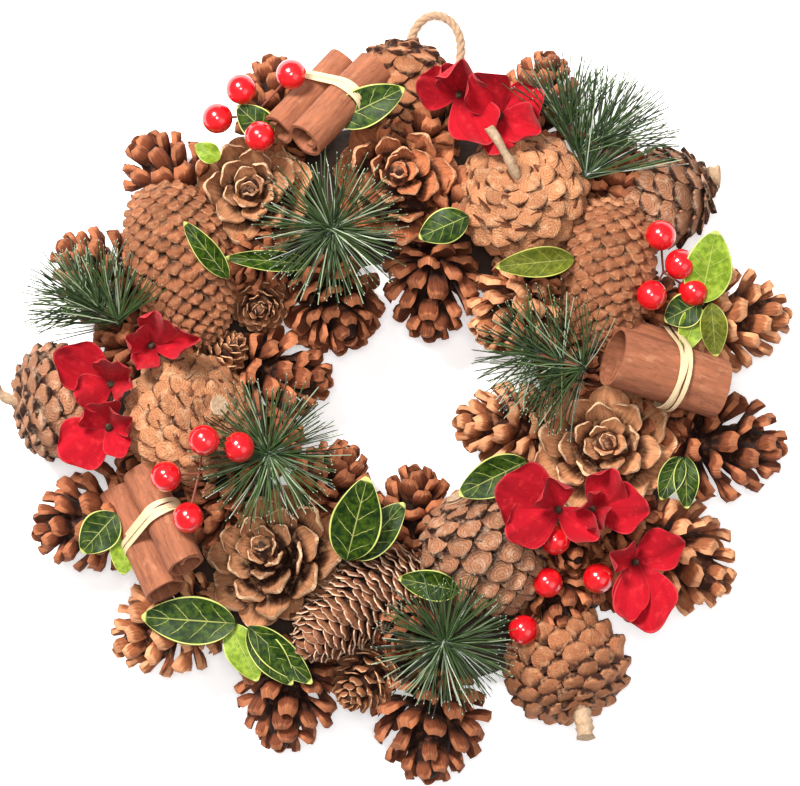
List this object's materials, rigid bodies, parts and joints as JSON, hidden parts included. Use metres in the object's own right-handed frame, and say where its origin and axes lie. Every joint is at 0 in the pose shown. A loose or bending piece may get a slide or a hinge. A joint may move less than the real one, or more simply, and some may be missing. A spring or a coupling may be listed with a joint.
{
  "type": "pinecone wreath",
  "caption": "Round decorative wreath of glued pine cones with cinnamon bundles, red berries, silk petals, leaves, needle sprigs and a jute hanging loop.",
  "frame": {"origin": "centre of the wreath's footprint, without the hanging loop, in the plane of the ring's flat back", "axes": "+Z out of the decorated face, +Y towards the hanging loop, +X to the right seen from the front"},
  "size_m": [0.3398, 0.3284, 0.0803],
  "materials": {
    "ring_wrap": "matt brown paper tape wound round a foam ring",
    "jute": "natural twisted rope, fuzzy",
    "open_cone": "dried pine cone, matt, dark inside and tan at the scale ends",
    "closed_cone": "dried closed cone, matt light brown",
    "dark_cone": "dried dark brown cone, slightly waxy",
    "cinnamon": "rolled bark, matt with fine lengthwise streaks",
    "raffia": "pale flat raffia strands",
    "berry": "glossy red lacquered foam on a thin wire",
    "petal": "deep red artificial silk with a soft velvet surface",
    "needle": "cut plastic needles, dark green",
    "leaf": "printed artificial leaf, dark green with a pale edge and veins, satin"
  },
  "bodies": {
    "root": {"base_ring": "ring_wrap", "hanging_loop": "jute", "outer_open_cone_1": "open_cone", "outer_open_cone_2": "open_cone", "outer_open_cone_3": "open_cone", "outer_open_cone_4": "open_cone", "outer_open_cone_5": "open_cone", "outer_open_cone_6": "open_cone", "outer_open_cone_7": "open_cone", "outer_open_cone_8": "open_cone", "outer_open_cone_9": "open_cone", "outer_open_cone_10": "open_cone", "outer_open_cone_11": "open_cone", "outer_closed_cone_1": "closed_cone", "outer_closed_cone_2": "closed_cone", "outer_closed_cone_3": "closed_cone", "outer_closed_cone_4": "closed_cone", "inner_open_cone_1": "dark_cone", "inner_open_cone_2": "dark_cone", "inner_open_cone_3": "dark_cone", "inner_open_cone_4": "dark_cone", "inner_open_cone_5": "dark_cone", "inner_open_cone_6": "dark_cone", "rosette_cone_1": "open_cone", "rosette_cone_2": "open_cone", "rosette_cone_3": "open_cone", "rosette_cone_4": "open_cone", "round_closed_cone_1": "closed_cone", "round_closed_cone_2": "closed_cone", "round_closed_cone_3": "closed_cone", "long_closed_cone_1": "closed_cone", "long_closed_cone_2": "closed_cone", "spruce_cone": "dark_cone", "larch_cone_1": "dark_cone", "larch_cone_2": "dark_cone", "cinnamon_1_quill_a": "cinnamon", "cinnamon_1_quill_b": "cinnamon", "cinnamon_1_tie": "raffia", "cinnamon_2_quill_a": "cinnamon", "cinnamon_2_quill_b": "cinnamon", "cinnamon_2_tie": "raffia", "cinnamon_3_quill_a": "cinnamon", "cinnamon_3_quill_b": "cinnamon", "cinnamon_3_tie": "raffia", "berry_pick_1": "berry", "berry_pick_2": "berry", "berry_pick_3": "berry", "berry_pick_4": "berry", "floret_pick_1": "petal", "floret_pick_2": "petal", "floret_pick_3": "petal", "needle_sprig_1": "needle", "needle_sprig_2": "needle", "needle_sprig_3": "needle", "needle_sprig_4": "needle", "needle_sprig_5": "needle", "needle_sprig_6": "needle", "leaf_spray_1": "leaf", "leaf_spray_2": "leaf", "leaf_spray_3": "leaf"}
  },
  "joints": []
}
